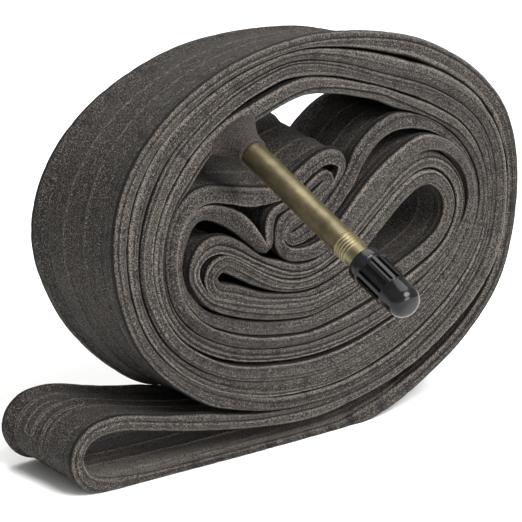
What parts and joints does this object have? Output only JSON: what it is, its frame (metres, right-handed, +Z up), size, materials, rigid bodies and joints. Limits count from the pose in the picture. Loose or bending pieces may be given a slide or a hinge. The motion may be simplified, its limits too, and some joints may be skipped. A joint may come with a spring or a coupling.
{
  "type": "bicycle inner tube",
  "caption": "Flat rubber bicycle inner tube doubled over and rolled up, with a slim brass valve stem in a flared rubber boss and a ribbed black dust cap.",
  "frame": {"origin": "middle of the band's width, on the flat underside of the loose loop's lower arm", "axes": "+Z up off the surface it rests on, +X along the roll's long direction away from the loose loop, -Y out of the open face the valve points from"},
  "size_m": [0.1241, 0.0846, 0.09],
  "materials": {
    "tube_rubber": "matt, lightly dusted",
    "boss_rubber": "matt",
    "stem_brass": "turned, satin",
    "core_brass": "turned, satin",
    "seal_rubber": "matt",
    "cap_plastic": "glossy"
  },
  "bodies": {
    "tube_and_stem": {"tube": "tube_rubber", "valve_boss": "boss_rubber", "valve_stem": "stem_brass", "core_body": "core_brass", "core_gasket": "seal_rubber"},
    "cap": {"dust_cap": "cap_plastic"},
    "pin": {"valve_pin": "core_brass", "pin_seal": "seal_rubber"},
    "nut": {"lock_nut": "core_brass"}
  },
  "joints": [
    {"name": "cap_lift", "type": "slide", "parent": "tube_and_stem", "child": "cap", "axis": [-0.01, -0.9206, -0.3903], "range_m": [0, 0.03]},
    {"name": "pin_press", "type": "slide", "parent": "tube_and_stem", "child": "pin", "axis": [-0.01, -0.9206, -0.3903], "range_m": [-0.0015, 0]},
    {"name": "nut_turn", "type": "hinge", "parent": "pin", "child": "nut", "pos_m": [-0.02124, -0.06356, 0.05079], "axis": [-0.01, -0.9206, -0.3903], "range_deg": [0, 170]}
  ]
}
